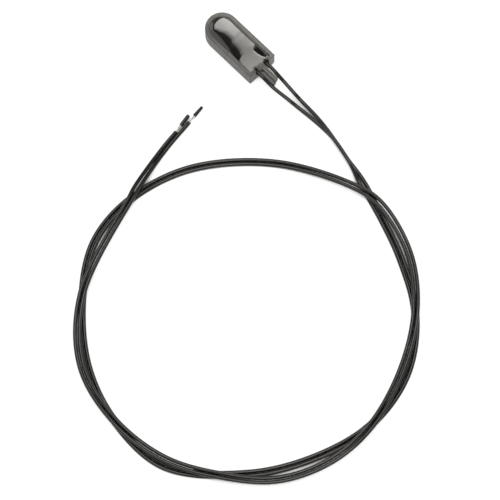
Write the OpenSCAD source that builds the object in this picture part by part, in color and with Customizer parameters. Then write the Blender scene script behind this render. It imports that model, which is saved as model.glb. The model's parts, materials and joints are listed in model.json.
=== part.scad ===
// Potted temperature sensor: an open moulded boat filled with resin, and two
// loose leads that come out through a notch beside a ribbed tongue.
// +X points to the lead end, +Z up. The origin is under the middle of the head.

/* [Head] */
// Length of the moulded body from nose to lead end, without the tongue
body_l = 27.6; // [24:0.2:36]
// Width of the body, which is also the diameter of its round nose
body_w = 12.6; // [11.4:0.2:15]
// Height of the body
body_h = 7; // [6.6:0.1:9]
// Thickness of the walls
wall = 1.45; // [1:0.05:1.8]
// Thickness of the floor
floor_t = 1; // [0.7:0.05:1.3]
// Rounding of the rim's two edges
rim_r = 0.3; // [0.1:0.05:0.45]
// Rounding of the outer edge round the underside
foot_r = 0.9; // [0.2:0.05:0.9]
// Rounding of the two upright corners at the lead end
corner_r = 0.4; // [0.1:0.05:0.8]
// Rounding at the foot of the pocket's walls
pocket_r = 0.6; // [0.2:0.05:0.9]

/* [Notch and tongue] */
// Height of the notch's sill above the underside
sill_h = 3.9; // [3.6:0.05:4.3]
// Gap between a lead and the side of the notch
notch_gap = 0.15; // [0.05:0.05:0.4]
// Gap between a lead and the block that parts the two leads
block_gap = 0.2; // [0.05:0.05:0.3]
// How far the block's round end reaches into the pocket past the wall's face
block_in = 0.75; // [0.3:0.05:1]
// Height of the block above the sill, where it meets the resin
block_h = 1.5; // [0.8:0.05:1.7]
// Length of the tongue outside the lead end
tongue_l = 7.6; // [4:0.2:9]
// Width of the tongue at the lead end
tongue_w = 3.3; // [2.8:0.1:3.4]
// Width of the tongue at its free end
tongue_end_w = 3; // [2.6:0.1:3.2]
// Depth of the tongue's plate below the sill
tongue_drop = 0.8; // [0.5:0.05:1.2]
// Width of the broad rib, on lead b's side
rib_b_w = 1.9; // [1.2:0.1:2]
// Height of the broad rib above the sill
rib_b_h = 0.75; // [0.4:0.05:1]
// Width of the narrow rib, on lead a's side
rib_a_w = 0.5; // [0.3:0.05:0.7]
// Height of the narrow rib above the sill
rib_a_h = 0.45; // [0.2:0.05:0.7]
// Length of the pocket between the lead end and the narrow rib
tongue_pocket_l = 1.2; // [0.6:0.1:2]
// Depth of that pocket below the sill
tongue_pocket_h = 0.5; // [0.2:0.05:0.5]
// How much shorter the tongue is on lead b's side than on lead a's
tongue_skew = 1.1; // [0:0.1:1.5]

/* [Resin] */
// Depth of the resin's edge below the rim
fill_drop = 1.25; // [1.1:0.05:1.8]
// How much lower the resin's middle is than its edge
dish = 0.45; // [0.2:0.05:0.7]
// Rounding of the resin's edge in the notch
lip_r = 0.5; // [0.2:0.05:0.7]

/* [Leads] */
// Diameter of a lead over its insulation
lead_d = 1.4; // [1:0.05:1.5]
// Distance between the two leads where they leave the resin
lead_pitch = 5; // [4.6:0.1:5.4]
// Diameter of one strand
strand_d = 0.2; // [0.14:0.01:0.22]
// Length of insulation stripped inside the resin
strip_l = 4.5; // [3.8:0.1:5.5]

/* [Lead tips] */
// Bared length between the insulation and the slug
window_l = 3.1; // [2:0.1:4]
// Length of the slug on lead a
slug_a_l = 4.75; // [3:0.25:6]
// Length of the slug on lead b
slug_b_l = 4.5; // [3:0.25:6]
// Diameter of lead b's slug at its cut end, where it was nipped thinner
slug_b_end_d = 1.1; // [0.9:0.05:1.2]
// How far lead a's strands stand off the bundle's middle where they are loosened
spread_a = 0.36; // [0.24:0.02:0.4]
// How far lead b's strands stand off the bundle's middle in the window
spread_b = 0.26; // [0.2:0.02:0.3]

/* [Sensing bead] */
// Side of the square chip
chip_w = 1; // [0.6:0.1:1.3]
// Thickness of the chip between its two faces
chip_t = 0.6; // [0.4:0.05:0.8]
// Diameter of the coat round the chip
coat_d = 2.5; // [2.2:0.1:3]
// Diameter of the coat's neck, where the legs come out
neck_d = 1.7; // [1.5:0.1:2]
// Length of the coat from the chip's middle to the end of its neck
neck_l = 2.6; // [2:0.1:3.2]
// Diameter of a leg
leg_d = 0.3; // [0.2:0.05:0.4]
// Distance from the chip's middle to the end of a lead's core
leg_run = 8.5; // [7:0.1:10]

/* [Splices and sleeves] */
// Distance of a splice from the middle plane
splice_y = 1.45; // [1.3:0.05:1.8]
// Length over which leg and core lie side by side
lap_l = 2.2; // [1.6:0.1:3]
// Length of solder past each end of the lap
solder_over = 0.3; // [0.1:0.05:0.5]
// Gap between the insulation and the sleeve
sleeve_gap = 0.05; // [0.03:0.01:0.15]
// Wall of the sleeve
sleeve_t = 0.25; // [0.15:0.05:0.3]
// How far the sleeve laps over the insulation
sleeve_over = 1.2; // [0.6:0.1:2]
// How far the sleeve reaches past the core's end
sleeve_past = 1.5; // [0.9:0.1:2]

/* [Hidden] */
$fn = 64;

// Overshoot of a cut past the face it opens
over = 1;

// Places along X, which follow from the lengths
end_x = (body_l - tongue_l) / 2;
nose_x = end_x - body_l + body_w / 2;
exit_x = end_x - wall;
half_w = body_w / 2;
pocket_y = half_w - wall;

// Where a lead leaves the resin: it lies on the sill, beside the block
lead_r = lead_d / 2;
lead_y = lead_pitch / 2;
exit_z = sill_h + lead_r;
block_w = lead_pitch - lead_d - 2 * block_gap;
notch_w = lead_pitch + lead_d + 2 * notch_gap;
block_r = (block_w * block_w / 4 + block_in * block_in) / (2 * block_in);

// Resin surface: an arc across the pocket, lowest in the middle
fill_z = body_h - fill_drop;
mid_z = fill_z - dish;
fill_r = (pocket_y * pocket_y + dish * dish) / (2 * dish);
notch_fill_z = mid_z + fill_r - sqrt(fill_r * fill_r - notch_w * notch_w / 4);

// Film of solder between a leg and what it is soldered to
lap_gap = 0.03;

// The bead lies halfway between the floor and the resin's surface
bead_z = (floor_t + mid_z) / 2;
leg_y = (chip_t + leg_d) / 2 + lap_gap;
core_d = 3 * strand_d;

// One side's splice axis runs from the core's end to where the lead leaves the resin
core_end = [nose_x + leg_run, splice_y, bead_z];
core_exit = [exit_x, lead_y, exit_z];
splice_run = norm(core_exit - core_end);
lap_off = (core_d + leg_d) / 2 + lap_gap;
solder_d = 2 * (lap_off + leg_d / 2) + 0.1;
sleeve_id = max(lead_d, solder_d) + 2 * sleeve_gap;
sleeve_od = sleeve_id + 2 * sleeve_t;

// Lead routes. Middle of the loop, from the lead end's face and the middle plane
loop_from_end = 64.3;
loop_y = -72.5;
loop_x = end_x + loop_from_end;
// Height of the exit in lead diameters over a lead that lies flat
exit_lift = sill_h / lead_d;
// From the head to the loop: distance from the lead end's face, distance from
// the middle plane, and height in lead diameters over a lead that lies flat
head_a = [[2.3, -2.4, exit_lift], [7.8, -2.2, 2], [16.8, -0.6, 0.2], [35.8, 0.3, 0],
          [46.8, -1.8, 0], [56.3, -3.5, 0]];
head_b = [[2.3, 2.5, exit_lift], [7.8, 2.3, 2.2], [16.8, 2.2, 0.5], [26.3, 1.7, 0.55],
          [32.8, 0.7, 1.1], [39.8, -0.7, 1.08], [47.8, -2.6, 1.08], [55.8, -5.3, 0]];
// Round the loop as a pair: bearing, radius, half the spacing and height, both
// in lead diameters. Lead a is the outer one.
loop = [[83, 63.4, 0.57, 0], [69, 61.4, 0.57, 0], [49, 61.5, 0.58, 0], [27, 61.2, 0.56, 0],
        [5, 59, 0.57, 0], [-18, 56.1, 0.57, 0], [-43, 56.2, 0.58, 0], [-72, 60.2, 0.58, 0],
        [-96, 58.4, 0.57, 0], [-118, 57.6, 0.56, 0], [-143, 58.3, 0.58, 0],
        [-164, 61.7, 0.62, 0], [-183, 62.2, 0.58, 0], [-206, 61.8, 0.6, 0],
        [-235, 61.9, 0.58, 0], [-261, 64.8, 0.6, 1.02], [-272, 66.4, 0.66, 1.4],
        [-291, 64.8, 0.57, 0.85], [-311, 61.5, 0.57, 1.4], [-333, 59, 0.56, 0.95],
        [-356, 59.6, 0.58, 1.4], [-374, 60.1, 0.57, 0.75], [-393, 59.7, 0.57, 0.75],
        [-413, 57.8, 0.6, 1.4], [-433, 58.1, 0.57, 1.15], [-455, 58.7, 0.58, 1.4],
        [-478, 59.8, 0.56, 1.02], [-504, 58.5, 0.58, 1.4], [-543, 61.8, 0.58, 1.4]];
// From the loop to the tips, measured as from the head to the loop
tail_a = [[0.1, -65, 1.06], [-4.1, -47.4, 0], [-5.3, -39, 0]];
tail_b = [[1.6, -63.8, 1.12], [-2.6, -47.2, 0], [-4.6, -32.9, 0]];

// Each tip: how far the slug is pushed sideways, and its turn from the lead
push_a = 0.16;
turn_a = 2.5;
push_b = 0.13;
turn_b = -1.1;
// Turn of the strands round each other along the window
strand_twist = 70;
// The outer strands, set evenly round the middle one
strand_count = 6;
strand_pitch = 360 / strand_count;
// Pitch circle of the outer strands where the insulation grips them
grip_r = 0.95 * strand_d;
strand_sides = 6;
strand_steps = 8;
lead_sides = 8;

shell_grey = [0.36, 0.355, 0.345];
resin_black = [0.1, 0.1, 0.1];
lead_black = [0.16, 0.16, 0.155];
tinned = [0.78, 0.78, 0.76];
solder_grey = [0.66, 0.67, 0.68];
coat_green = [0.1, 0.22, 0.16];
chip_grey = [0.3, 0.28, 0.27];
sleeve_clear = [0.75, 0.72, 0.62];

function unit(v) = v / norm(v);
function lying(lift) = lead_r + lift * lead_d;
function placed(p) = [end_x + p[0], p[1], lying(p[2])];
function looped(p, side) =
    let (r = p[1] + side * p[2] * lead_d)
    [loop_x + r * cos(p[0]), loop_y + r * sin(p[0]), lying(p[3])];

// A lead's whole route: side is 1 for the outer lead and -1 for the inner one
function route(start, head, side, tail) =
    concat([start],
           [for (p = head) placed(p)],
           [for (p = loop) looped(p, side)],
           [for (p = tail) placed(p)]);

route_a = route([exit_x, -lead_y, exit_z], head_a, 1, tail_a);
route_b = route([exit_x, lead_y, exit_z], head_b, -1, tail_b);

// Direction of a path at point i; the first ring can be given its own
function heading(path, i, first) =
    let (n = len(path) - 1)
    i == 0 ? (is_undef(first) ? unit(path[1] - path[0]) : first)
    : i == n ? unit(path[n] - path[n - 1])
    : unit(unit(path[i] - path[i - 1]) + unit(path[i + 1] - path[i]));

function ring(p, dir, r, sides) =
    let (side = unit(cross(dir, [0, 0, 1])), rise = cross(side, dir))
    [for (k = [0 : sides - 1])
        let (a = (k + 0.5) * 360 / sides)
        p + r * (cos(a) * side + sin(a) * rise)];

// A round rod swept along a path, as one closed skin
module sweep(path, r, sides, first = undef) {
    n = len(path);
    points = [for (i = [0 : n - 1]) each ring(path[i], heading(path, i, first), r, sides)];
    start = [for (k = [0 : sides - 1]) sides - 1 - k];
    end = [for (k = [0 : sides - 1]) (n - 1) * sides + k];
    walls = [for (i = [0 : n - 2], k = [0 : sides - 1])
        let (a = i * sides + k, b = i * sides + (k + 1) % sides)
        each [[a, b, b + sides], [a, b + sides, a + sides]]];
    polyhedron(points, concat([start], walls, [end]), convexity = 10);
}

// Turns +Z onto the way from p to q, with its foot at p
module along(p, q) {
    d = q - p;
    translate(p)
        rotate([0, acos(d[2] / norm(d)), atan2(d[1], d[0])])
            children();
}

// What lies between a square corner and the arc that rounds it
module corner_cut(r) {
    difference() {
        square(r + over);
        circle(r);
        translate([-over, -over]) square([over, r + 2 * over]);
        translate([-over, -over]) square([r + 2 * over, over]);
    }
}

// Half of the body's cross-section, from the middle plane out
module body_half() {
    difference() {
        square([half_w, body_h]);
        translate([half_w - rim_r, body_h - rim_r]) corner_cut(rim_r);
        translate([half_w - foot_r, foot_r]) mirror([0, 1]) corner_cut(foot_r);
    }
}

// Half of the pocket's cross-section; top is where it ends
module pocket_half(top) {
    difference() {
        translate([0, floor_t]) square([pocket_y, top - floor_t]);
        translate([pocket_y - pocket_r, floor_t + pocket_r])
            mirror([0, 1]) corner_cut(pocket_r);
    }
}

// The pocket as the rim leaves it open, flared by the rim's inner rounding
module open_half() {
    pocket_half(body_h + over);
    difference() {
        translate([pocket_y - over, body_h - rim_r]) square([rim_r + over, rim_r + over]);
        translate([pocket_y + rim_r, body_h - rim_r]) circle(rim_r);
    }
}

// Half of the resin's cross-section, with its sunken surface
module resin_half() {
    difference() {
        pocket_half(fill_z);
        translate([0, mid_z + fill_r]) circle(fill_r, $fn = 360);
    }
}

// A boat: children(0) is half of its cross-section, turned round the nose and
// run to the lead end, where children(1) gives the end's own section
module boat(reach) {
    translate([nose_x, 0, 0])
        rotate([0, 0, 90])
            rotate_extrude(angle = 180)
                children(0);
    intersection() {
        translate([nose_x, 0, 0])
            rotate([90, 0, 90])
                linear_extrude(height = reach) {
                    children(0);
                    mirror([1, 0]) children(0);
                }
        translate([0, body_w, 0])
            rotate([90, 0, 0])
                linear_extrude(height = 2 * body_w)
                    children(1);
    }
}

// The end's section: the same half section set against the lead end's face,
// with a plain stretch from the nose's middle on
module end_section(low, high) {
    translate([end_x - half_w, 0]) children();
    translate([nose_x - over, low]) square([end_x - half_w - nose_x + 2 * over, high - low]);
}

module body_solid() {
    intersection() {
        boat(end_x - nose_x) {
            body_half();
            end_section(0, body_h) body_half();
        }
        linear_extrude(height = body_h)
            difference() {
                translate([-body_l, -half_w]) square([body_l + end_x, body_w]);
                for (side = [-1, 1])
                    translate([end_x - corner_r, side * (half_w - corner_r)])
                        mirror([0, side < 0 ? 1 : 0])
                            corner_cut(corner_r);
            }
    }
}

module pocket_solid() {
    boat(end_x - nose_x) {
        open_half();
        end_section(floor_t, body_h + over) open_half();
    }
}

// Plan of the tongue: narrower to its free end, which is cut askew and nicked
module tongue_plan() {
    tip_x = end_x + tongue_l;
    polygon([[end_x - wall / 2, -tongue_w / 2],
             [tip_x, -tongue_end_w / 2],
             [tip_x - 0.3 * tongue_skew, -0.1 * tongue_end_w],
             [tip_x - 0.7 * tongue_skew, 0.05 * tongue_end_w],
             [tip_x - 0.6 * tongue_skew, 0.2 * tongue_end_w],
             [tip_x - tongue_skew, 0.5 * tongue_end_w],
             [end_x - wall / 2, tongue_w / 2]]);
}

// A rib from x0 on, y0 to y1, with its two top edges rounded
module rib(x0, y0, y1, h) {
    r = min(h, y1 - y0) * 0.3;
    translate([x0, 0, 0])
        rotate([90, 0, 90])
            linear_extrude(height = tongue_l + wall) {
                translate([y0, sill_h - tongue_drop / 2]) square([y1 - y0, tongue_drop / 2 + h - r]);
                translate([y0 + r, sill_h]) square([y1 - y0 - 2 * r, h]);
                translate([y0 + r, sill_h + h - r]) circle(r);
                translate([y1 - r, sill_h + h - r]) circle(r);
            }
}

module tongue() {
    low = sill_h - tongue_drop;
    edge = tongue_w / 2;
    difference() {
        intersection() {
            translate([0, 0, low]) linear_extrude(height = body_h) tongue_plan();
            union() {
                // The plate, level with the sill
                translate([end_x - wall / 2, -edge, low])
                    cube([tongue_l + wall, tongue_w, tongue_drop]);
                rib(end_x - wall / 2, edge - rib_b_w, edge, rib_b_h);
                rib(end_x + tongue_pocket_l, -edge, rib_a_w - tongue_end_w / 2, rib_a_h);
            }
        }
        // The pocket beside the broad rib, in front of the wall
        translate([end_x, -tongue_end_w / 2 + rib_a_w / 2, sill_h - tongue_pocket_h])
            cube([tongue_pocket_l, tongue_end_w / 2 - rib_a_w / 2 + edge - rib_b_w, body_h]);
        // A shallow groove along the broad rib
        translate([end_x + tongue_pocket_l, edge - rib_b_w / 2, sill_h + rib_b_h])
            rotate([0, 90, 0])
                cylinder(h = tongue_l, r = rib_b_w / 10);
    }
}

// The block on the sill that parts the leads. It stands on the pocket's floor,
// is round where it meets the resin and falls to the tongue's broad rib.
module block() {
    low = floor_t / 2;
    intersection() {
        translate([0, block_w / 2, 0])
            rotate([90, 0, 0])
                linear_extrude(height = block_w)
                    polygon([[exit_x - block_in, low],
                             [exit_x + wall / 2, low],
                             [exit_x + wall / 2, sill_h - tongue_drop],
                             [end_x, sill_h - tongue_drop],
                             [end_x, sill_h + rib_b_h],
                             [exit_x, sill_h + block_h],
                             [exit_x - block_in, sill_h + block_h]]);
        union() {
            translate([exit_x - block_in + block_r, 0, 0]) cylinder(h = body_h, r = block_r);
            translate([exit_x, -block_w / 2, 0]) cube([wall, block_w, body_h]);
        }
    }
}

module notch() {
    translate([exit_x - over, -notch_w / 2, sill_h])
        cube([wall + 2 * over, notch_w, body_h]);
}

module shell() {
    color(shell_grey) {
        difference() {
            body_solid();
            pocket_solid();
            notch();
        }
        block();
        tongue();
    }
}

// One side's pieces, drawn at +Y. Their axis runs from the core's end outwards.

module splice_axis() {
    along(core_end, core_exit) children();
}

// Cuts off what runs out past the resin's face
module to_exit() {
    difference() {
        children();
        translate([exit_x, 0, 0]) cube([wall, half_w, body_h]);
    }
}

module core_rod(d) {
    to_exit() splice_axis() cylinder(h = splice_run + over, d = d);
}

module insulation_rod() {
    to_exit()
        splice_axis()
            translate([0, 0, strip_l])
                cylinder(h = splice_run - strip_l + over, d = lead_d);
}

module sleeve_rod() {
    splice_axis()
        translate([0, 0, -sleeve_past])
            cylinder(h = sleeve_past + strip_l + sleeve_over, d = sleeve_od);
}

// A leg runs along the chip's face, out of the neck, and beside the core
function leg_path() =
    let (dir = unit(core_exit - core_end),
         side = unit(cross(dir, [0, 0, 1])),
         beside = core_end + lap_off * side)
    [[nose_x - chip_w / 4, leg_y, bead_z],
     [nose_x + neck_l + 0.6, leg_y, bead_z],
     beside - dir * 0.8,
     beside + dir * lap_l];

module leg() {
    sweep(leg_path(), leg_d / 2 / cos(180 / lead_sides), lead_sides);
}

// The solder joint: a spindle round the core and the leg beside it
module solder_rod() {
    splice_axis()
        translate([0, 0, -solder_over])
            rotate_extrude()
                polygon([[0, 0],
                         [solder_d / 4, 0],
                         [solder_d / 2, solder_over],
                         [solder_d / 2, solder_over + lap_l],
                         [solder_d / 4, 2 * solder_over + lap_l],
                         [0, 2 * solder_over + lap_l]]);
}

// The coat: a drop, round at the chip and drawn out into a neck along the legs
module coat_shape() {
    r = coat_d / 2;
    // Where the straight side leaves the ball, touching it
    reach = norm([neck_l, neck_d / 2]);
    lean = atan2(neck_d / 2, neck_l) + acos(r / reach);
    translate([nose_x, 0, bead_z])
        rotate([0, 90, 0])
            rotate_extrude() {
                intersection() {
                    circle(r);
                    translate([0, -r]) square([r, 2 * r]);
                }
                polygon([[0, 0], [r * sin(lean), r * cos(lean)], [neck_d / 2, neck_l], [0, neck_l]]);
            }
}

module chip_shape() {
    translate([nose_x - chip_w / 2, -chip_t / 2, bead_z - chip_w / 2])
        cube([chip_w, chip_t, chip_w]);
}

module both_sides() {
    children();
    mirror([0, 1, 0]) children();
}

// Everything that the resin flows round
module held_by_resin() {
    coat_shape();
    both_sides() {
        leg();
        sleeve_rod();
        insulation_rod();
    }
}

// The resin's edge in the notch, rounded over by its own skin
module resin_lip_cut() {
    translate([exit_x - lip_r, -notch_w / 2, notch_fill_z - lip_r])
        difference() {
            cube([lip_r + over, notch_w, lip_r + over]);
            translate([0, -over, 0])
                rotate([-90, 0, 0])
                    cylinder(h = notch_w + 2 * over, r = lip_r);
        }
}

module potting() {
    color(resin_black)
        difference() {
            boat(exit_x - nose_x) {
                resin_half();
                end_section(floor_t, body_h) pocket_half(body_h);
            }
            block();
            resin_lip_cut();
            held_by_resin();
        }
}

module ntc_chip() {
    color(chip_grey) chip_shape();
}

module bead_coat() {
    color(coat_green)
        difference() {
            coat_shape();
            chip_shape();
            both_sides() leg();
        }
}

module bead_leg() {
    color(tinned) leg();
}

module splice() {
    color(solder_grey)
        difference() {
            solder_rod();
            core_rod(core_d);
            leg();
        }
}

module sleeve() {
    color(sleeve_clear)
        difference() {
            sleeve_rod();
            splice_axis()
                translate([0, 0, -sleeve_past - over])
                    cylinder(h = sleeve_past + strip_l + sleeve_over + 2 * over, d = sleeve_id);
        }
}

module inner_core() {
    color(tinned) core_rod(core_d);
}

module inner_lead() {
    color(lead_black)
        difference() {
            insulation_rod();
            core_rod(core_d);
        }
}

module side_a() {
    mirror([0, 1, 0]) children();
}

// The free leads, drawn plain

module lead(path) {
    color(lead_black) sweep(path, lead_r, lead_sides, [1, 0, 0]);
}

// The lead tips. Middle of the bundle at t, which is 0 at the insulation's end
// and 1 where the slug begins.
function last(path) = path[len(path) - 1];
function tip_dir(path) = unit(last(path) - path[len(path) - 2]);
function turned(v, a) = [v[0] * cos(a) - v[1] * sin(a), v[0] * sin(a) + v[1] * cos(a), 0];
function eased(t) = t * t * (3 - 2 * t);
function window_at(path, push, t) =
    last(path) + tip_dir(path) * window_l * t + turned(tip_dir(path), 90) * push * eased(t);
function slug_at(path, push, turn, s) =
    window_at(path, push, 1) + turned(tip_dir(path), turn) * s;

// One strand: k is 0 for the middle one and 1 to 6 for those round it
function strand(path, push, turn, spread, slug_l, k) =
    let (dir = tip_dir(path), out = turned(dir, -90))
    concat(
        [for (i = [0 : strand_steps])
            let (t = i / strand_steps,
                 a = k * strand_pitch + strand_twist * t,
                 r = k == 0 ? 0 : grip_r + (spread - grip_r) * pow(sin(180 * t), 0.7))
            window_at(path, push, t) + r * (cos(a) * out + sin(a) * [0, 0, 1])],
        let (a = k * strand_pitch + strand_twist,
             r = k == 0 ? 0 : grip_r,
             side = turned(out, turn))
        [slug_at(path, push, turn, slug_l) + r * (cos(a) * side + sin(a) * [0, 0, 1])]);

module tip_core(path, push, turn, spread, slug_l) {
    color(tinned)
        for (k = [0 : strand_count])
            sweep(strand(path, push, turn, spread, slug_l, k), strand_d * 0.53,
                  strand_sides, tip_dir(path));
}

// The slug: a cut piece of the insulation, pushed along the strands
module tip_slug(path, push, turn, slug_l, end_d) {
    bore_r = grip_r + strand_d * 0.55;
    edge = 0.08;
    color(lead_black)
        along(slug_at(path, push, turn, 0), slug_at(path, push, turn, slug_l))
            rotate_extrude()
                polygon([[bore_r, 0],
                         [lead_r - edge, 0],
                         [lead_r, edge],
                         [end_d / 2, slug_l - edge],
                         [end_d / 2 - edge, slug_l],
                         [bore_r, slug_l]]);
}

shell();
potting();
lead(route_a);  // lead_a
lead(route_b);  // lead_b
tip_core(route_a, push_a, turn_a, spread_a, slug_a_l);  // tip_core_a
tip_core(route_b, push_b, turn_b, spread_b, slug_b_l);  // tip_core_b
tip_slug(route_a, push_a, turn_a, slug_a_l, lead_d);  // tip_slug_a
tip_slug(route_b, push_b, turn_b, slug_b_l, slug_b_end_d);  // tip_slug_b
ntc_chip();
bead_coat();
side_a() bead_leg();  // bead_leg_a
bead_leg();  // bead_leg_b
side_a() splice();  // splice_a
splice();  // splice_b
side_a() sleeve();  // sleeve_a
sleeve();  // sleeve_b
side_a() inner_core();  // inner_core_a
inner_core();  // inner_core_b
side_a() inner_lead();  // inner_lead_a
inner_lead();  // inner_lead_b
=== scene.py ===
"""Looks for a potted temperature sensor with two loose leads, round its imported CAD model."""

import json
import math

import bpy
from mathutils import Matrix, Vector, noise


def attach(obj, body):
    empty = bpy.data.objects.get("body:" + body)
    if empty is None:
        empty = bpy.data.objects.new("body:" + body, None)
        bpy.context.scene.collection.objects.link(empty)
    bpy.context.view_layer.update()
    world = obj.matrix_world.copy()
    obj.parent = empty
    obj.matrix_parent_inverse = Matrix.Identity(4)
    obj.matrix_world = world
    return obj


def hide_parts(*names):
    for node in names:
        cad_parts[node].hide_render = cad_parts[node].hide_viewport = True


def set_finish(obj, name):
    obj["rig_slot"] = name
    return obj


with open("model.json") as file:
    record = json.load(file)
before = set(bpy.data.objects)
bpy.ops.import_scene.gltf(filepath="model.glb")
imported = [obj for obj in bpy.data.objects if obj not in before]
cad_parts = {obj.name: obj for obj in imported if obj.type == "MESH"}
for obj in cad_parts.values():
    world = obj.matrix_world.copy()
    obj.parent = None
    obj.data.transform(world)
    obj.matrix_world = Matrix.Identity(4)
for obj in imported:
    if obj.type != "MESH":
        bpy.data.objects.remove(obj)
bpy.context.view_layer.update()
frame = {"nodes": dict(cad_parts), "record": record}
NODES = frame["nodes"]
MM = 0.001
ALONG, UP = Vector((1, 0, 0)), Vector((0, 0, 1))

# Sizes that the looks need, as in part.scad, in millimetres
BODY_L, BODY_W, BODY_H, WALL, FLOOR_T = 27.6, 12.6, 7.0, 1.45, 1.0
TONGUE_L, SILL_H, BLOCK_IN, BLOCK_GAP = 7.6, 3.9, 0.75, 0.2
NOTCH_GAP, POCKET_R, FILL_DROP, DISH, LIP_R = 0.15, 0.6, 1.25, 0.45, 0.5
LEAD_D, LEAD_PITCH, STRAND_D = 1.4, 5.0, 0.2
WINDOW_L, SLUG_A_L, SLUG_B_L, SLUG_B_END_D = 3.1, 4.75, 4.5, 1.1
SPREAD_A, SPREAD_B, STRAND_TWIST = 0.36, 0.26, 70
PUSH_A, TURN_A, PUSH_B, TURN_B = 0.16, 2.5, 0.13, -1.1

# Places that follow from them
END_X = (BODY_L - TONGUE_L) / 2
NOSE_X = END_X - BODY_L + BODY_W / 2
EXIT_X = END_X - WALL
POCKET_Y = BODY_W / 2 - WALL
LEAD_R = LEAD_D / 2
LEAD_Y = LEAD_PITCH / 2
EXIT_Z = SILL_H + LEAD_R
NOTCH_Y = (LEAD_PITCH + LEAD_D) / 2 + NOTCH_GAP
BLOCK_Y = (LEAD_PITCH - LEAD_D) / 2 - BLOCK_GAP
BLOCK_R = (BLOCK_Y**2 + BLOCK_IN**2) / (2 * BLOCK_IN)
MID_Z = BODY_H - FILL_DROP - DISH

# The photograph's view: the point in its middle, and the camera's offset from it
AIM = Vector((56.22, -51.54, 0)) * MM
CAMERA_OFFSET = Vector((269.3, -262.6, 1033.7)) * MM
CAMERA_LENS, CAMERA_SENSOR = 220, 36
# How near and how far the camera sees, in metres
CAMERA_NEAR, CAMERA_FAR = 0.01, 20

# Camera


def make_camera():
    data = bpy.data.cameras.new("camera")
    data.lens, data.sensor_width = CAMERA_LENS, CAMERA_SENSOR
    data.clip_start, data.clip_end = CAMERA_NEAR, CAMERA_FAR
    camera = bpy.data.objects.new("camera", data)
    camera.location = AIM + CAMERA_OFFSET
    camera.rotation_mode = "QUATERNION"
    camera.rotation_quaternion = (-CAMERA_OFFSET).to_track_quat("-Z", "Y")
    bpy.context.scene.collection.objects.link(camera)
    bpy.context.scene.camera = camera


make_camera()

# Lead routes, with the points of part.scad

LOOP_X, LOOP_Y = END_X + 64.3, -72.5
# Heights are in lead diameters over a lead that lies flat
EXIT_LIFT = SILL_H / LEAD_D
# Each row: distance from the lead end's face, distance from the middle plane, height
HEAD_A = [
    (2.3, -2.4, EXIT_LIFT), (7.8, -2.2, 2), (16.8, -0.6, 0.2), (35.8, 0.3, 0), (46.8, -1.8, 0),
    (56.3, -3.5, 0),
]
HEAD_B = [
    (2.3, 2.5, EXIT_LIFT), (7.8, 2.3, 2.2), (16.8, 2.2, 0.5), (26.3, 1.7, 0.55),
    (32.8, 0.7, 1.1), (39.8, -0.7, 1.08), (47.8, -2.6, 1.08), (55.8, -5.3, 0),
]
# Each row: bearing, radius, half the spacing in lead diameters, height. Lead a is the outer one
LOOP = [
    (83, 63.4, 0.57, 0), (69, 61.4, 0.57, 0), (49, 61.5, 0.58, 0), (27, 61.2, 0.56, 0),
    (5, 59, 0.57, 0), (-18, 56.1, 0.57, 0), (-43, 56.2, 0.58, 0), (-72, 60.2, 0.58, 0),
    (-96, 58.4, 0.57, 0), (-118, 57.6, 0.56, 0), (-143, 58.3, 0.58, 0), (-164, 61.7, 0.62, 0),
    (-183, 62.2, 0.58, 0), (-206, 61.8, 0.6, 0), (-235, 61.9, 0.58, 0), (-261, 64.8, 0.6, 1.02),
    (-272, 66.4, 0.66, 1.4), (-291, 64.8, 0.57, 0.85), (-311, 61.5, 0.57, 1.4),
    (-333, 59, 0.56, 0.95), (-356, 59.6, 0.58, 1.4), (-374, 60.1, 0.57, 0.75),
    (-393, 59.7, 0.57, 0.75), (-413, 57.8, 0.6, 1.4), (-433, 58.1, 0.57, 1.15),
    (-455, 58.7, 0.58, 1.4), (-478, 59.8, 0.56, 1.02), (-504, 58.5, 0.58, 1.4),
    (-543, 61.8, 0.58, 1.4),
]
# Each row as in HEAD_A
TAIL_A = [(0.1, -65, 1.06), (-4.1, -47.4, 0), (-5.3, -39, 0)]
TAIL_B = [(1.6, -63.8, 1.12), (-2.6, -47.2, 0), (-4.6, -32.9, 0)]


def placed(row):
    return Vector((END_X + row[0], row[1], LEAD_R + row[2] * LEAD_D))


def looped(row, side):
    bearing, radius, half, lift = row
    reach = radius + side * half * LEAD_D
    angle = math.radians(bearing)
    return Vector((
        LOOP_X + reach * math.cos(angle),
        LOOP_Y + reach * math.sin(angle),
        LEAD_R + lift * LEAD_D,
    ))


def route(start_y, head, side, tail):
    """A lead's points from where it leaves the resin to its insulation's end, in millimetres."""
    points = [Vector((EXIT_X, start_y, EXIT_Z))]
    points += [placed(row) for row in head]
    points += [looped(row, side) for row in LOOP]
    points += [placed(row) for row in tail]
    return points


ROUTE_A = route(-LEAD_Y, HEAD_A, 1, TAIL_A)
ROUTE_B = route(LEAD_Y, HEAD_B, -1, TAIL_B)

# Tools for curves and meshes


def ramp(v, low, high):
    """0 below low and 1 above high, eased between."""
    t = min(max((v - low) / (high - low), 0), 1)
    return t * t * (3 - 2 * t)


def spoke(side, rise, angle):
    """The direction at an angle in radians from side towards rise."""
    return math.cos(angle) * side + math.sin(angle) * rise


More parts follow.
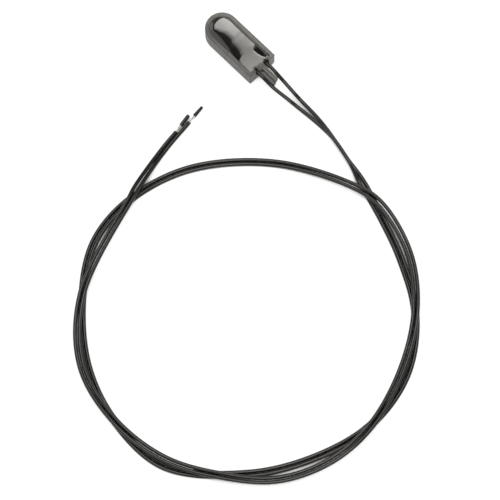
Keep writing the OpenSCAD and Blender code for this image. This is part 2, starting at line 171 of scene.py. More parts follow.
def smooth(points, step):
    """The one smooth curve through the points, with a point about every step."""
    full = [2 * points[0] - points[1]] + points + [2 * points[-1] - points[-2]]
    out = []
    for p0, p1, p2, p3 in zip(full, full[1:], full[2:], full[3:]):
        t1 = (p1 - p0).length ** 0.5
        t2 = t1 + (p2 - p1).length ** 0.5
        t3 = t2 + (p3 - p2).length ** 0.5
        count = max(2, round((p2 - p1).length / step))
        for i in range(count):
            t = t1 + (t2 - t1) * i / count
            a1 = p0.lerp(p1, t / t1)
            a2 = p1.lerp(p2, (t - t1) / (t2 - t1))
            a3 = p2.lerp(p3, (t - t2) / (t3 - t2))
            b1 = a1.lerp(a2, t / t2)
            b2 = a2.lerp(a3, (t - t1) / (t3 - t1))
            out.append(b1.lerp(b2, (t - t1) / (t2 - t1)))
    out.append(points[-1])
    for p in out:
        p.z = max(p.z, LEAD_R)
    return out


def heading(points):
    """The direction in which a path ends."""
    return (points[-1] - points[-2]).normalized()


def directions(path):
    """The direction of a path at each of its points."""
    last = len(path) - 1
    return [
        (path[min(i + 1, last)] - path[max(i - 1, 0)]).normalized() for i in range(last + 1)
    ]


def tube(path, radii, sides, first):
    """Points and faces of a closed tube, with a radius for each point of the path.

    first is the direction in which it starts.
    """
    points, faces = [], []
    for p, d, r in zip(path, [first] + directions(path)[1:], radii):
        side = d.cross(UP).normalized()
        rise = side.cross(d)
        points += [p + r * spoke(side, rise, 2 * math.pi * k / sides) for k in range(sides)]
    for i in range(len(path) - 1):
        for k in range(sides):
            a, b = i * sides + k, i * sides + (k + 1) % sides
            faces.append((a, b, b + sides, a + sides))
    faces.append(tuple(reversed(range(sides))))
    faces.append(tuple(range((len(path) - 1) * sides, len(path) * sides)))
    return points, faces


def new_mesh(name, points, faces, flat=()):
    """An object from points in millimetres; faces numbered in flat aren't smoothed."""
    mesh = bpy.data.meshes.new(name)
    mesh.from_pydata([Vector(p) * MM for p in points], [], faces)
    mesh.validate()
    for polygon in mesh.polygons:
        polygon.use_smooth = polygon.index not in flat
    obj = bpy.data.objects.new(name, mesh)
    bpy.context.scene.collection.objects.link(obj)
    return obj


# Leads

PATH_STEP = 1.2
LEAD_SIDES = 14
# Share by which the insulation's radius varies, and how fast it does from point to point
UNEVEN, UNEVEN_RATE = 0.012, 0.35
# How far the cut edge at the insulation's end is rounded
CUT_R = 0.07


def lead(name, path, seed):
    """The free lead: slightly uneven insulation, with the cut edge at its end rounded."""
    path = path[:-1] + [path[-1] - heading(path) * CUT_R, path[-1]]
    # The tube's flats, not its corners, lie at the lead's radius
    reach = LEAD_R / math.cos(math.pi / LEAD_SIDES)
    radii = [
        reach * (1 + UNEVEN * noise.noise(Vector((i * UNEVEN_RATE, seed, 0))))
        for i in range(len(path))
    ]
    radii[-1] = reach - CUT_R
    points, faces = tube(path, radii, LEAD_SIDES, ALONG)
    return new_mesh(name, points, faces, {len(faces) - 1, len(faces) - 2})


PATH_A = smooth(ROUTE_A, PATH_STEP)
PATH_B = smooth(ROUTE_B, PATH_STEP)
LEAD_A = lead("insulation_a", PATH_A, seed=3.1)
LEAD_B = lead("insulation_b", PATH_B, seed=8.7)

# Lead tips

STRAND_STEPS, STRAND_SIDES = 20, 8
# The outer strands, set evenly round the middle one
STRAND_COUNT = 6
STRAND_PITCH = 360 / STRAND_COUNT
# Pitch circle of the outer strands where the insulation grips them
GRIP_R = 0.95 * STRAND_D
# Power of the strands' arch in the window: below 1 it is blunt
ARCH_POWER = 0.7
SLUG_STEPS, SLUG_SIDES = 16, 20
SLUG_BORE_R = 1.5 * STRAND_D
# The rounding of a slug's end, in rows of distance from its side and from its end
SLUG_EDGE = ((0.09, 0.0), (0.02, 0.03))
# Share by which a slug is crushed, and how fast that changes round it and along it
CRUSH, CRUSH_ROUND, CRUSH_ALONG = 0.025, 1.3, 0.8


def turned(v, degrees):
    """A level vector, turned about the vertical."""
    a = math.radians(degrees)
    x = v.x * math.cos(a) - v.y * math.sin(a)
    y = v.x * math.sin(a) + v.y * math.cos(a)
    return Vector((x, y, 0))


def window_at(points, push, t):
    """The middle of the bared strands at t, from 0 at the insulation to 1 at the slug."""
    tip = heading(points)
    return points[-1] + tip * WINDOW_L * t + turned(tip, 90) * push * ramp(t, 0, 1)


def strands(name, points, push, turn, spread, slug_l):
    """The seven bared strands, loosened in the window and gripped again by the slug."""
    tip = heading(points)
    out = turned(tip, -90)
    all_points, all_faces = [], []
    for k in range(STRAND_COUNT + 1):
        outer = k > 0
        path = []
        for i in range(STRAND_STEPS + 1):
            t = i / STRAND_STEPS
            a = math.radians(k * STRAND_PITCH + STRAND_TWIST * t)
            r = outer * (GRIP_R + (spread - GRIP_R) * math.sin(math.pi * t) ** ARCH_POWER)
            path.append(window_at(points, push, t) + r * spoke(out, UP, a))
        a = math.radians(k * STRAND_PITCH + STRAND_TWIST)
        end = window_at(points, push, 1) + turned(tip, turn) * slug_l
        path.append(end + outer * GRIP_R * spoke(turned(out, turn), UP, a))
        some, faces = tube(path, [STRAND_D / 2] * len(path), STRAND_SIDES, tip)
        all_faces += [tuple(v + len(all_points) for v in f) for f in faces]
        all_points += some
    return new_mesh(name, all_points, all_faces)


STRANDS_A = strands("strands_a", ROUTE_A, PUSH_A, TURN_A, SPREAD_A, SLUG_A_L)
STRANDS_B = strands("strands_b", ROUTE_B, PUSH_B, TURN_B, SPREAD_B, SLUG_B_L)


def slug_profile(slug_l, end_r):
    """Rows of radius and distance along a slug, from its bore round its outside and back."""
    profile = [(SLUG_BORE_R, 0)] + [(LEAD_R - inset, s) for inset, s in SLUG_EDGE]
    for i in range(1, SLUG_STEPS):
        t = i / SLUG_STEPS
        profile.append((LEAD_R + (end_r - LEAD_R) * t, slug_l * t))
    profile += [(end_r - inset, slug_l - s) for inset, s in reversed(SLUG_EDGE)]
    return profile + [(SLUG_BORE_R, slug_l)]


def slug(name, points, push, turn, slug_l, end_d, seed):
    """The insulation slug left on a tip: a hollow, slightly crushed length of tube."""
    tip = turned(heading(points), turn)
    start = window_at(points, push, 1)
    side = tip.cross(UP)
    all_points, faces = [], []
    profile = slug_profile(slug_l, end_d / 2)
    for r, s in profile:
        for k in range(SLUG_SIDES):
            a = 2 * math.pi * k / SLUG_SIDES
            spot = (math.cos(a) * CRUSH_ROUND, math.sin(a) * CRUSH_ROUND, s * CRUSH_ALONG + seed)
            grow = 1 + (CRUSH * noise.noise(Vector(spot)) if r > SLUG_BORE_R else 0)
            all_points.append(start + tip * s + min(r * grow, LEAD_R) * spoke(side, UP, a))
    total = len(all_points)
    for i in range(len(profile)):
        for k in range(SLUG_SIDES):
            a, b = i * SLUG_SIDES + k, i * SLUG_SIDES + (k + 1) % SLUG_SIDES
            faces.append((a, (a + SLUG_SIDES) % total, (b + SLUG_SIDES) % total, b))
    return new_mesh(name, all_points, faces)


SLUG_A = slug("slug_a", ROUTE_A, PUSH_A, TURN_A, SLUG_A_L, LEAD_D, seed=2.2)
SLUG_B = slug("slug_b", ROUTE_B, PUSH_B, TURN_B, SLUG_B_L, SLUG_B_END_D, seed=5.6)

for obj, node in (
    (LEAD_A, "lead_a"), (LEAD_B, "lead_b"), (STRANDS_A, "tip_core_a"),
    (STRANDS_B, "tip_core_b"), (SLUG_A, "tip_slug_a"), (SLUG_B, "tip_slug_b"),
):
    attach(obj, "root")
    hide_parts(node)
for obj in (LEAD_A, LEAD_B, SLUG_A, SLUG_B):
    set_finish(obj, "lead_insulation")
for obj in (STRANDS_A, STRANDS_B):
    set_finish(obj, "tinned_copper")


# Casting resin

# Its surface is given by its slope across the head, so that it mirrors the studio
# as the photograph shows. Each row is a place along the head and a value there.
# Across the head, the slope is SLOPE_IN at BAND_IN, SLOPE_OUT at BAND_OUT, and
# SLOPE_WALL from WALL_EASE past that towards lead a's wall.
BAND_IN = (
    (-16.2, -2.2), (-13.6, -2.0), (-12.0, -1.2), (-9.2, 0.1), (-6.6, 0.3), (-4.6, -0.7),
    (-1.2, -0.9), (1.2, -1.8), (2.4, -4.4), (4.0, -5.5), (9.0, -5.5),
)
BAND_OUT = (
    (-16.2, -2.5), (-13.6, -2.3), (-12.5, -2.5), (-9.2, -2.6), (-5.2, -3.1), (-2.4, -4.0),
    (-1.0, -4.5), (1.2, -5.2), (2.4, -5.6), (4.0, -6.5), (9.0, -6.5),
)
SLOPE_IN, SLOPE_OUT, SLOPE_WALL = -0.042, -0.113, -0.165
WALL_EASE = 0.7
# On lead b's side of BAND_IN the slope grows by this much, over this width
MIDDLE_SLOPE, MIDDLE_W = 0.04, 1.4
# How much the middle bulges towards lead b's wall, and over which width
BULGE = ((-16.2, 0.05), (-1.0, 0.05), (2.5, 0.005), (8.6, 0.005))
BULGE_W = 4.8
# Where the resin begins to creep up lead b's wall, how steeply, and how soft that bend is
CREEP_FROM = (
    (-16.2, 4.4), (1.3, 4.0), (2.8, 2.35), (4.6, 2.45), (6.2, 2.8), (7.4, 3.3), (8.6, 4.0),
)
CREEP_SLOPE = ((-16.2, 0.09), (1.3, 0.1), (2.9, 0.31), (5.8, 0.34), (7.4, 0.3), (8.6, 0.24))
CREEP_SOFT = 0.4
# Slope along the head's middle
SLOPE_ALONG = (
    (-16.2, -0.2), (-14.5, -0.1), (-11.0, -0.06), (-7.0, -0.03), (-5.0, -0.01),
    (-3.0, 0.015), (1.0, 0.02), (5.0, -0.01), (8.6, -0.03),
)
# At the nose the resin climbs out from a round line. The climb begins between the two
# angles of CLIMB_START, and fades over the last CLIMB_FADE degrees before CLIMB_END.
CLIMB_X, CLIMB_Y, CLIMB_R, CLIMB_SLOPE, CLIMB_SOFT = -11.2, 1.1, 4.15, 0.25, 0.38
CLIMB_START, CLIMB_FADE, CLIMB_END = (85, 110), 20, 243
# The steep skin that the resin leaves on lead b's wall, and where it begins
SKIN_W, SKIN_SLOPE, SKIN_SOFT = 0.35, 0.6, 0.05
SKIN_FROM_X, SKIN_FROM_Y = (-14.5, -12.5), (2.5, 4.0)
# The fine rim that it wets on lead a's wall, and how far from the middle that begins
RIM_H, RIM_W, RIM_FROM_Y = 0.06, 0.12, (1.5, 3.5)
# The wetted collar round each lead: its height, and its reach along and across the head
COLLAR_H, COLLAR_X, COLLAR_Y = 0.14, 0.6, 0.9
# Steps in which the slopes are added up
ALONG_STEPS, ACROSS_STEPS = 40, 48

# The surface's grid: steps across the block, on to the notch's side and on to the wall,
# round the nose, and along the head, where the last share of the way has steps of its own
BLOCK_STEPS, NOTCH_STEPS, WALL_STEPS, NOSE_STEPS = 8, 8, 10, 48
HEAD_STEPS, LAST_STEPS, LAST_SHARE = 90, 9, 0.04
# Edges with a sharper angle than this, in degrees, aren't smoothed
SHARP_ANGLE = 40


def along_rows(rows, x):
    """The value at x, eased from one row to the next."""
    if x <= rows[0][0]:
        return rows[0][1]
    for (x0, v0), (x1, v1) in zip(rows, rows[1:]):
        if x <= x1:
            return v0 + (v1 - v0) * ramp(x, x0, x1)
    return rows[-1][1]


def slope_across(y, band_in, band_out, creep_from, creep, bulge):
    """The slope at y, with the values that the rows have at the same place along the head."""
    if y < band_out:
        return SLOPE_OUT + (SLOPE_WALL - SLOPE_OUT) * ramp(band_out - y, 0, WALL_EASE)
    if y < band_in:
        return SLOPE_OUT + (SLOPE_IN - SLOPE_OUT) * (y - band_out) / (band_in - band_out)
    free = SLOPE_IN + MIDDLE_SLOPE * ramp(y - band_in, 0, MIDDLE_W) + bulge * ramp(y, 0, BULGE_W)
    return free + (creep - free) * ramp(y, creep_from - CREEP_SOFT, creep_from + CREEP_SOFT)


def risen(slope, end, steps):
    """How far a surface rises from 0 to end, where slope gives how steep it is."""
    width = end / steps
    return sum(slope((i + 0.5) * width) * width for i in range(steps))


def bent(v, soft):
    """0 below zero and v above it, with a soft bend between."""
    return (v + math.sqrt(v * v + soft * soft)) / 2


def climb(x, y, edge):
    """The climb at the nose, the skin on lead b's wall and the rim on lead a's."""
    dx, dy = x - CLIMB_X, y - CLIMB_Y
    angle = math.degrees(math.atan2(dy, dx)) % 360
    share = ramp(angle, *CLIMB_START) * ramp(CLIMB_END - angle, 0, CLIMB_FADE)
    rise = CLIMB_SLOPE * share * bent(math.hypot(dx, dy) - CLIMB_R, CLIMB_SOFT)
    skin = SKIN_SLOPE * ramp(y, *SKIN_FROM_Y) * ramp(x, *SKIN_FROM_X)
    rise += skin * bent(SKIN_W - edge, SKIN_SOFT)
    return rise + RIM_H * ramp(-y, *RIM_FROM_Y) * math.exp(-edge / RIM_W)


def resin_height(x, y, edge):
    """Height of the cured surface; edge is the distance to the pocket's wall."""
    rows = (BAND_IN, BAND_OUT, CREEP_FROM, CREEP_SLOPE, BULGE)
    shape = [along_rows(row, x) for row in rows]
    z = MID_Z + risen(lambda v: along_rows(SLOPE_ALONG, v), x, ALONG_STEPS)
    z += risen(lambda v: slope_across(v, *shape), y, ACROSS_STEPS)
    z += climb(x, y, edge)
    for side in (-1, 1):
        off = ((x - EXIT_X) / COLLAR_X) ** 2 + ((y - side * LEAD_Y) / COLLAR_Y) ** 2
        z += COLLAR_H * math.exp(-off)
    # The edge in the notch is rounded over
    past = x - (EXIT_X - LIP_R)
    if BLOCK_Y < abs(y) < NOTCH_Y and past > 0:
        z -= LIP_R - math.sqrt(max(LIP_R**2 - past**2, 0))
    return z


def resin_end(y):
    """Where the resin ends towards the leads: at the notch, or round the block's end."""
    if abs(y) >= BLOCK_Y:
        return EXIT_X
    return EXIT_X - BLOCK_IN + BLOCK_R - math.sqrt(BLOCK_R**2 - y**2)


def places_across():
    """Where the grid's rows lie, evenly to the notch's side and then closer to the wall."""
    block = [BLOCK_Y * i / BLOCK_STEPS for i in range(BLOCK_STEPS + 1)]
    notch = [BLOCK_Y + (NOTCH_Y - BLOCK_Y) * i / NOTCH_STEPS for i in range(1, NOTCH_STEPS + 1)]
    wall = [
        NOTCH_Y + (POCKET_Y - NOTCH_Y) * math.sin(math.pi / 2 * i / WALL_STEPS)
        for i in range(1, WALL_STEPS + 1)
    ]
    outward = block + notch + wall
    return [-y for y in reversed(outward[1:])] + outward


def shares_along():
    """Shares of the way from the nose's middle to the lead end, closer at the end."""
    first = 1 - LAST_SHARE
    even = [i / HEAD_STEPS * first for i in range(HEAD_STEPS)]
    return even + [first + LAST_SHARE * i / LAST_STEPS for i in range(LAST_STEPS + 1)]


def resin():
    """The casting: its sunken surface on a fine grid, with walls and underside closed."""
    ys, shares = places_across(), shares_along()
    mid, last = len(ys) // 2, len(shares) - 1
    points, faces, index = [], [], {}

    def at(key, x, y, edge):
        if key not in index:
            index[key] = len(points)
            points.append((x, y, resin_height(x, y, edge)))
        return index[key]

    def straight(i, j):
        x = NOSE_X + (resin_end(ys[j]) - NOSE_X) * shares[i]
        return at(("straight", i, j), x, ys[j], POCKET_Y - abs(ys[j]))

    def nose(i, j):
        # j counts from the nose's middle out, i from +Y round to -Y
        if j == 0:
            return straight(0, mid)
        if i == 0:
            return straight(0, mid + j)
        if i == NOSE_STEPS:
            return straight(0, mid - j)
        r = ys[mid + j]
        a = math.pi / 2 + math.pi * i / NOSE_STEPS
        return at(("nose", i, j), NOSE_X + r * math.cos(a), r * math.sin(a), POCKET_Y - r)

    def add_face(place, *corners):
        faces.append(tuple(place(*corner) for corner in corners))

    for i in range(last):
        for j in range(2 * mid):
            add_face(straight, (i, j), (i + 1, j), (i + 1, j + 1), (i, j + 1))
    for i in range(NOSE_STEPS):
        add_face(nose, (0, 0), (i, 1), (i + 1, 1))
        for j in range(1, mid):
            add_face(nose, (i, j), (i, j + 1), (i + 1, j + 1), (i + 1, j))
    # The outline, counter-clockwise from the -Y corner at the lead end
    lead_end = [straight(last, j) for j in range(2 * mid + 1)]
    outline = lead_end + [straight(i, 2 * mid) for i in range(last - 1, -1, -1)]
    outline += [nose(i, mid) for i in range(1, NOSE_STEPS + 1)]
    outline += [straight(i, 0) for i in range(1, last)]
    close_below(points, faces, outline, len(lead_end))
    obj = new_mesh("resin", points, faces)
    obj.data.set_sharp_from_angle(angle=math.radians(SHARP_ANGLE))
    return obj


def close_below(points, faces, outline, end_count):
    """Adds walls down from the outline, a bevel at their foot, and the underside.

    The first end_count points of the outline are the lead end's, which has no bevel.
    """
    n, low = len(outline), len(points)
    base = low + n
    points += [(points[v][0], points[v][1], FLOOR_T + POCKET_R) for v in outline]
    shrink = 1 - POCKET_R / POCKET_Y
    for k, v in enumerate(outline):
        x, y, _ = points[v]
        if k >= end_count and x < NOSE_X:
            x = NOSE_X + (x - NOSE_X) * shrink
        points.append((x, y * shrink, FLOOR_T))
    for i in range(n):
        k = (i + 1) % n
        faces.append((outline[k], outline[i], low + i, low + k))
        faces.append((low + k, low + i, base + i, base + k))
    faces.append(tuple(range(base + n - 1, base - 1, -1)))


RESIN = resin()
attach(RESIN, "root")
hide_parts("potting")
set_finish(RESIN, "casting_resin")

# Materials

# The span in which most values of a noise texture lie
NOISE_LOW, NOISE_HIGH = 0.3, 0.7
# The colour inputs and the colour output of a Mix node
MIX_A, MIX_B, MIX_OUT = 6, 7, 2


class Nodes:
    """A node tree, and short ways to add nodes to it."""

    def __init__(self, tree):
        self.nodes, self.links = tree.nodes, tree.links

    def feed(self, socket, value):
        """Links the socket to another node's output, or sets it to a number or a colour."""
        if isinstance(value, bpy.types.NodeSocket):
            self.links.new(value, socket)
        else:
            socket.default_value = value

    def feed_all(self, node, inputs):
        for name, value in inputs.items():
            self.feed(node.inputs[name.replace("_", " ")], value)

    def new(self, kind, **inputs):
        """A new node; an input's name has an underscore for each space."""
        node = self.nodes.new("ShaderNode" + kind)
        self.feed_all(node, inputs)
        return node

    def axes(self, vector):
        return self.new("SeparateXYZ", Vector=vector).outputs

    def fit(self, value, low, high, to_low, to_high, curve="LINEAR"):
        """to_low below low and to_high above high, in a line or a curve between."""
        node = self.new(
            "MapRange", Value=value, From_Min=low, From_Max=high, To_Min=to_low, To_Max=to_high
        )
        node.interpolation_type = curve
        return node.outputs["Result"]

    def maths(self, operation, value, *others):
        """The operation on a value, or on a value and each of the others in turn."""
        for other in others or (0,):
            node = self.new("Math")
            node.operation = operation
            self.feed(node.inputs[0], value)
            self.feed(node.inputs[1], other)
            value = node.outputs["Value"]
        return value


class Shader(Nodes):
    """A material with one Principled shader, whose constant inputs are given by name."""

    def __init__(self, name, **inputs):
        self.material = bpy.data.materials.new(name)
        self.material.use_nodes = True
        super().__init__(self.material.node_tree)
        self.base = self.nodes["Principled BSDF"]
        self.feed_all(self.base, inputs)
        where = self.new("TexCoord")
        self.place, self.facing = where.outputs["Object"], where.outputs["Normal"]

    def stretched(self, scale):
        return self.new("Mapping", Vector=self.place, Scale=scale).outputs["Vector"]

    def noise(self, scale, detail=2, rough=0.5, place=None):
        node = self.new(
            "TexNoise", Vector=place or self.place, Scale=scale, Detail=detail, Roughness=rough
        )
        return node.outputs["Fac"]

    def mix(self, share, a, b):
        """Colour a where share is 0, colour b where it is 1."""
        node = self.new("Mix", Factor=share)
        node.data_type = "RGBA"
        for socket, colour in ((node.inputs[MIX_A], a), (node.inputs[MIX_B], b)):
            self.feed(socket, (*colour, 1) if isinstance(colour, tuple) else colour)
        return node.outputs[MIX_OUT]

    def spread(self, texture, low, high):
        """A noise texture's values, spread from low to high."""
        return self.fit(texture, NOISE_LOW, NOISE_HIGH, low, high)

    def colour(self, value):
        self.feed(self.base.inputs["Base Color"], value)

    def colours(self, texture, dark, pale):
        """Lets the colour wander between two colours with a noise texture."""
        self.colour(self.mix(self.spread(texture, 0, 1), dark, pale))

    def roughness(self, texture, low, high):
        """Lets the roughness wander between two values with a noise texture."""
        self.feed(self.base.inputs["Roughness"], self.spread(texture, low, high))

    def bump(self, texture, distance, strength, before=None):
        """Adds relief, on top of the relief before it if there is one."""
        node = self.new("Bump", Height=texture, Distance=distance, Strength=strength)
        if before is not None:
            self.feed(node.inputs["Normal"], before)
        self.feed(self.base.inputs["Normal"], node.outputs["Normal"])
        return node.outputs["Normal"]


# The shell's tone is a sum: how much its mottle and its flow marks change it up and down,
# with the span in which most values of the flow marks lie
MOTTLE, FLOW, FLOW_SPAN = 0.15, 0.17, (0.35, 0.65)
# and a painted shade: it darkens towards the pocket's -Y wall and pales towards its +Y wall,
# more on upright faces
SIDE_PAINTED_SHADE, UPRIGHT_SIDE_PAINTED_SHADE = (-0.36, 0.32), (-0.26, 0.14)
# A face is upright where its normal's Z is below the first of these, and level past the second
UPRIGHT, LEVEL = 0.3, 0.6
# The span of the tone, and the colours at its ends
TONE_SPAN = (-0.5, 0.55)
SHELL_DARK, SHELL_PALE = (0.066, 0.064, 0.061), (0.166, 0.162, 0.155)
# A pale painted light on the pocket's upright wall, which ends between these depths in the wall,
# and these places along the head
PAINTED_WALL_LIGHT, PAINTED_WALL_DEPTH, PAINTED_WALL_END_X = (0.3, 0.29, 0.28), (0.03, 0.1), (7.3, 7.6)


def shell_plastic():
    m = Shader("shell_plastic", IOR=1.5)
    x, y, _ = m.axes(m.place)

    def across(low, high):
        return m.fit(y, -POCKET_Y * MM, POCKET_Y * MM, low, high)

    mottle = m.noise(260, detail=4, rough=0.6)
    flow = m.noise(1, detail=3, place=m.stretched((60, 420, 420)))
    upright = m.fit(m.maths("ABSOLUTE", m.axes(m.facing)["Z"]), UPRIGHT, LEVEL, 1, 0)
    # The tone adds the mottle and flow marks to a painted shade across the head
    tone = m.maths(
        "ADD", m.spread(mottle, -MOTTLE, MOTTLE), m.fit(flow, *FLOW_SPAN, -FLOW, FLOW),
        across(*SIDE_PAINTED_SHADE), m.maths("MULTIPLY", upright, across(*UPRIGHT_SIDE_PAINTED_SHADE)),
    )
    body = m.mix(m.fit(tone, *TONE_SPAN, 0, 1), SHELL_DARK, SHELL_PALE)
    # Painted light: the pocket's upright wall above the fill is coloured pale in place of the
    # light that falls on it
    back = m.maths("MINIMUM", m.maths("SUBTRACT", x, NOSE_X * MM), 0)
    squares = m.maths("ADD", m.maths("MULTIPLY", back, back), m.maths("MULTIPLY", y, y))
    near, far = (POCKET_Y + depth for depth in PAINTED_WALL_DEPTH)
    inside = m.fit(m.maths("SQRT", squares), near * MM, far * MM, 1, 0)
    before_end = m.fit(x, PAINTED_WALL_END_X[0] * MM, PAINTED_WALL_END_X[1] * MM, 1, 0)
    m.colour(m.mix(m.maths("MULTIPLY", upright, inside, before_end), body, PAINTED_WALL_LIGHT))
    m.roughness(m.noise(900, detail=3, rough=0.6), low=0.36, high=0.5)
    grain = m.bump(m.noise(5200), distance=0.00002, strength=0.35)
    m.bump(flow, distance=0.00005, strength=0.4, before=grain)
    return m.material


def casting_resin():
    m = Shader("casting_resin", IOR=1.52, Coat_Weight=1.0, Coat_Roughness=0.03, Coat_IOR=1.5)
    m.colours(m.noise(240, detail=3), dark=(0.007, 0.007, 0.007), pale=(0.014, 0.0135, 0.013))
    m.roughness(m.noise(420, detail=4, rough=0.6), low=0.06, high=0.13)
    m.bump(m.noise(180, rough=0.4), distance=0.00004, strength=0.5)
    return m.material


def lead_insulation():
    m = Shader("lead_insulation", IOR=1.47)
    m.colours(m.noise(320, detail=3), dark=(0.004, 0.004, 0.004), pale=(0.011, 0.0109, 0.0107))
    m.roughness(m.noise(700, detail=3, rough=0.6), low=0.05, high=0.11)
    m.bump(m.noise(1500), distance=0.00002, strength=0.5)
    return m.material


def tinned_copper():
    m = Shader("tinned_copper", Metallic=1.0)
    wash = m.noise(2400, detail=3, rough=0.6)
    m.colours(wash, dark=(0.62, 0.61, 0.58), pale=(0.86, 0.86, 0.84))
    m.roughness(m.noise(5200), low=0.18, high=0.36)
    m.bump(m.noise(9000), distance=0.000005, strength=0.5)
    return m.material


def solder():
    m = Shader("solder", Metallic=1.0)
    m.colours(m.noise(1800, detail=3), dark=(0.5, 0.5, 0.51), pale=(0.7, 0.71, 0.72))
    m.roughness(m.noise(3000), low=0.25, high=0.45)
    m.bump(m.noise(1600), distance=0.00002, strength=0.5)
    return m.material


def chip_ceramic():
    m = Shader("chip_ceramic")
    speckle = m.noise(6000, detail=4, rough=0.7)
    m.colours(speckle, dark=(0.15, 0.135, 0.13), pale=(0.25, 0.23, 0.22))
    m.roughness(m.noise(8000), low=0.6, high=0.8)
    m.bump(m.noise(12000), distance=0.00001, strength=0.5)
    return m.material


def bead_resin():
    m = Shader("bead_resin", IOR=1.52)
    m.colours(m.noise(900, detail=3), dark=(0.03, 0.1, 0.065), pale=(0.05, 0.14, 0.095))
    m.roughness(m.noise(1500), low=0.12, high=0.25)
    m.bump(m.noise(1100), distance=0.00003, strength=0.4)
    return m.material


def sleeve_plastic():
    m = Shader("sleeve_plastic", IOR=1.5)
    m.colours(m.noise(1200, detail=3), dark=(0.54, 0.51, 0.42), pale=(0.66, 0.63, 0.54))
    m.roughness(m.noise(2500), low=0.35, high=0.5)
    m.bump(m.noise(1500), distance=0.00002, strength=0.4)
    return m.material


MATERIALS = {
    maker.__name__: maker()
    for maker in (
        shell_plastic, casting_resin, lead_insulation, tinned_copper,
        solder, chip_ceramic, bead_resin, sleeve_plastic,
    )
}


def dress(obj, slot):
    obj.data.materials.clear()
    obj.data.materials.append(MATERIALS[slot])


for row in frame["record"]["subparts"]:
    dress(NODES[row["node"]], row["material_slot"])
for obj in (LEAD_A, LEAD_B, SLUG_A, SLUG_B, STRANDS_A, STRANDS_B, RESIN):
    dress(obj, obj["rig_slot"])

# Studio

# The floor is square and lies just under the object; both sizes are in metres
FLOOR_HALF, FLOOR_DROP = 3.0, 0.00005
# Its grey as it lights the object, and its fainter grey and its glow in direct view
FLOOR_GREY, FLOOR_FAINT, FLOOR_GLOW = 0.7, 0.26, 0.84
# Painted shade: the glow is gone at the first of these shares of open air round a point, and
# full at the second
GAP_SHADE_OPEN = (0.34, 0.5)
GAP_REACH, GAP_SAMPLES = 0.004, 8

# The colour of all the studio's light
STUDIO_COLOUR = (1, 0.975, 0.93, 1)
# The studio is drawn in the plane one metre above the object, down to this sine of the
# angle above the horizon
LOWEST = 0.02
# Each rectangle there is from x, to x, from y, to y and the width of its soft edge: a wide
# dim soft box and a small bright one on the camera's side, a pale reflector past the main
# soft box, and the dark border and the cloth of that box
WIDE_BOX, WIDE_LIGHT = (-0.9, 0.7, -1.7, -0.6, 0.1), 1.4
SMALL_BOX, SMALL_LIGHT = (0.17, 0.55, -0.4, 0.1, 0.04), 6.0
REFLECTOR = (-1.4, 0.6, 0.5, 1.5, 0.04)
BORDER, BORDER_LIGHT = (-0.8, 0.15, -0.45, 0.6, 0.03), 0.03
CLOTH = (-0.68, -0.02, -0.2, 0.43, 0.03)
# Each change of light is from a place, to a place, and the light or the share of it at both.
# Pale walls up to about 17 degrees ease to a grey ceiling at about 33, given as sines
WALL_TO_CEILING = (0.3, 0.55, 0.8, 0.34)
# The reflector and the cloth are brighter towards +X, and the cloth dims towards +Y and -Y
REFLECTOR_X, CLOTH_X = (-0.3, 0.2, 0.8, 1.3), (-0.45, -0.12, 3.0, 5.7)
CLOTH_PLUS_Y, CLOTH_MINUS_Y = (0.2, 0.42, 1.1, 0.4), (-0.2, 0.02, 0.35, 1.0)


def direct_view(tree):
    """1 for rays from the camera, from gloss or through glass, so that these see white."""
    rays = tree.new("LightPath").outputs
    return tree.maths(
        "MAXIMUM", rays["Is Camera Ray"], rays["Is Glossy Ray"], rays["Is Transmission Ray"]
    )


def floor_material():
    """Plain grey for the light that it throws up, but white with a shadow in direct view."""
    material = bpy.data.materials.new("floor")
    material.use_nodes = True
    tree = Nodes(material.node_tree)
    tree.nodes.clear()
    plain = tree.new("BsdfDiffuse", Color=(FLOOR_GREY, FLOOR_GREY, FLOOR_GREY, 1))
    faint = tree.new("BsdfDiffuse", Color=(FLOOR_FAINT, FLOOR_FAINT, FLOOR_FAINT, 1))
    # Painted shade: no glow in the narrow gap between two leads, where the real floor is dark in
    # their shade
    air = tree.new("AmbientOcclusion", Distance=GAP_REACH)
    air.samples = GAP_SAMPLES
    glow = tree.new("Emission", Strength=tree.fit(air.outputs["AO"], *GAP_SHADE_OPEN, 0, FLOOR_GLOW))
    seen = tree.new("AddShader")
    tree.feed(seen.inputs[0], faint.outputs[0])
    tree.feed(seen.inputs[1], glow.outputs[0])
    mix = tree.new("MixShader", Fac=direct_view(tree))
    tree.feed(mix.inputs[1], plain.outputs[0])
    tree.feed(mix.inputs[2], seen.outputs[0])
    tree.new("OutputMaterial", Surface=mix.outputs[0])
    return material


def make_floor():
    corners = [
        (AIM.x + x * FLOOR_HALF, AIM.y + y * FLOOR_HALF, -FLOOR_DROP)
        for x, y in ((-1, -1), (1, -1), (1, 1), (-1, 1))
    ]
    mesh = bpy.data.meshes.new("floor")
    mesh.from_pydata(corners, [], [(0, 1, 2, 3)])
    floor = bpy.data.objects.new("floor", mesh)
    bpy.context.scene.collection.objects.link(floor)
    floor.data.materials.append(floor_material())


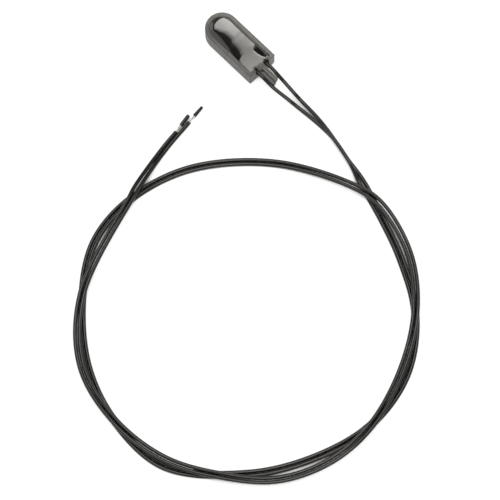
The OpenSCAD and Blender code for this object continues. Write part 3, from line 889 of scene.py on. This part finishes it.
class Sky(Nodes):
    """The studio round the object, drawn in the plane one metre above it."""

    def __init__(self):
        world = bpy.data.worlds.new("studio")
        bpy.context.scene.world = world
        world.use_nodes = True
        super().__init__(world.node_tree)
        self.nodes.clear()
        way = self.axes(self.new("TexCoord").outputs["Generated"])
        self.up = way["Z"]
        rise = self.maths("MAXIMUM", self.up, LOWEST)
        self.x = self.maths("DIVIDE", way["X"], rise)
        self.y = self.maths("DIVIDE", way["Y"], rise)

    def step(self, value, low, high, start=0, end=1):
        """start below low and end above high, eased between."""
        return self.fit(value, low, high, start, end, "SMOOTHSTEP")

    def window(self, x0, x1, y0, y1, soft):
        """1 inside the rectangle, 0 outside, with soft edges that lie inside it."""
        return self.maths(
            "MULTIPLY",
            self.step(self.x, x0, x0 + soft), self.step(self.x, x1 - soft, x1, 1, 0),
            self.step(self.y, y0, y0 + soft), self.step(self.y, y1 - soft, y1, 1, 0),
        )

    def blend(self, mask, a, b):
        """a where mask is 0, b where it is 1."""
        keep = self.maths("MULTIPLY", self.maths("SUBTRACT", 1, mask), a)
        return self.maths("ADD", keep, self.maths("MULTIPLY", mask, b))

    def finish(self, strength):
        back = self.new("Background", Color=STUDIO_COLOUR, Strength=strength)
        self.new("OutputWorld", Surface=back.outputs[0])


def make_world():
    sky = Sky()
    light = sky.step(sky.up, *WALL_TO_CEILING)
    light = sky.blend(sky.window(*WIDE_BOX), light, WIDE_LIGHT)
    light = sky.blend(sky.window(*SMALL_BOX), light, SMALL_LIGHT)
    light = sky.blend(sky.window(*REFLECTOR), light, sky.step(sky.x, *REFLECTOR_X))
    light = sky.blend(sky.window(*BORDER), light, BORDER_LIGHT)
    cloth = sky.maths(
        "MULTIPLY", sky.step(sky.x, *CLOTH_X),
        sky.step(sky.y, *CLOTH_PLUS_Y), sky.step(sky.y, *CLOTH_MINUS_Y),
    )
    sky.finish(sky.blend(sky.window(*CLOTH), light, cloth))


make_floor()
make_world()

scene = bpy.context.scene
scene.view_settings.view_transform = "Standard"
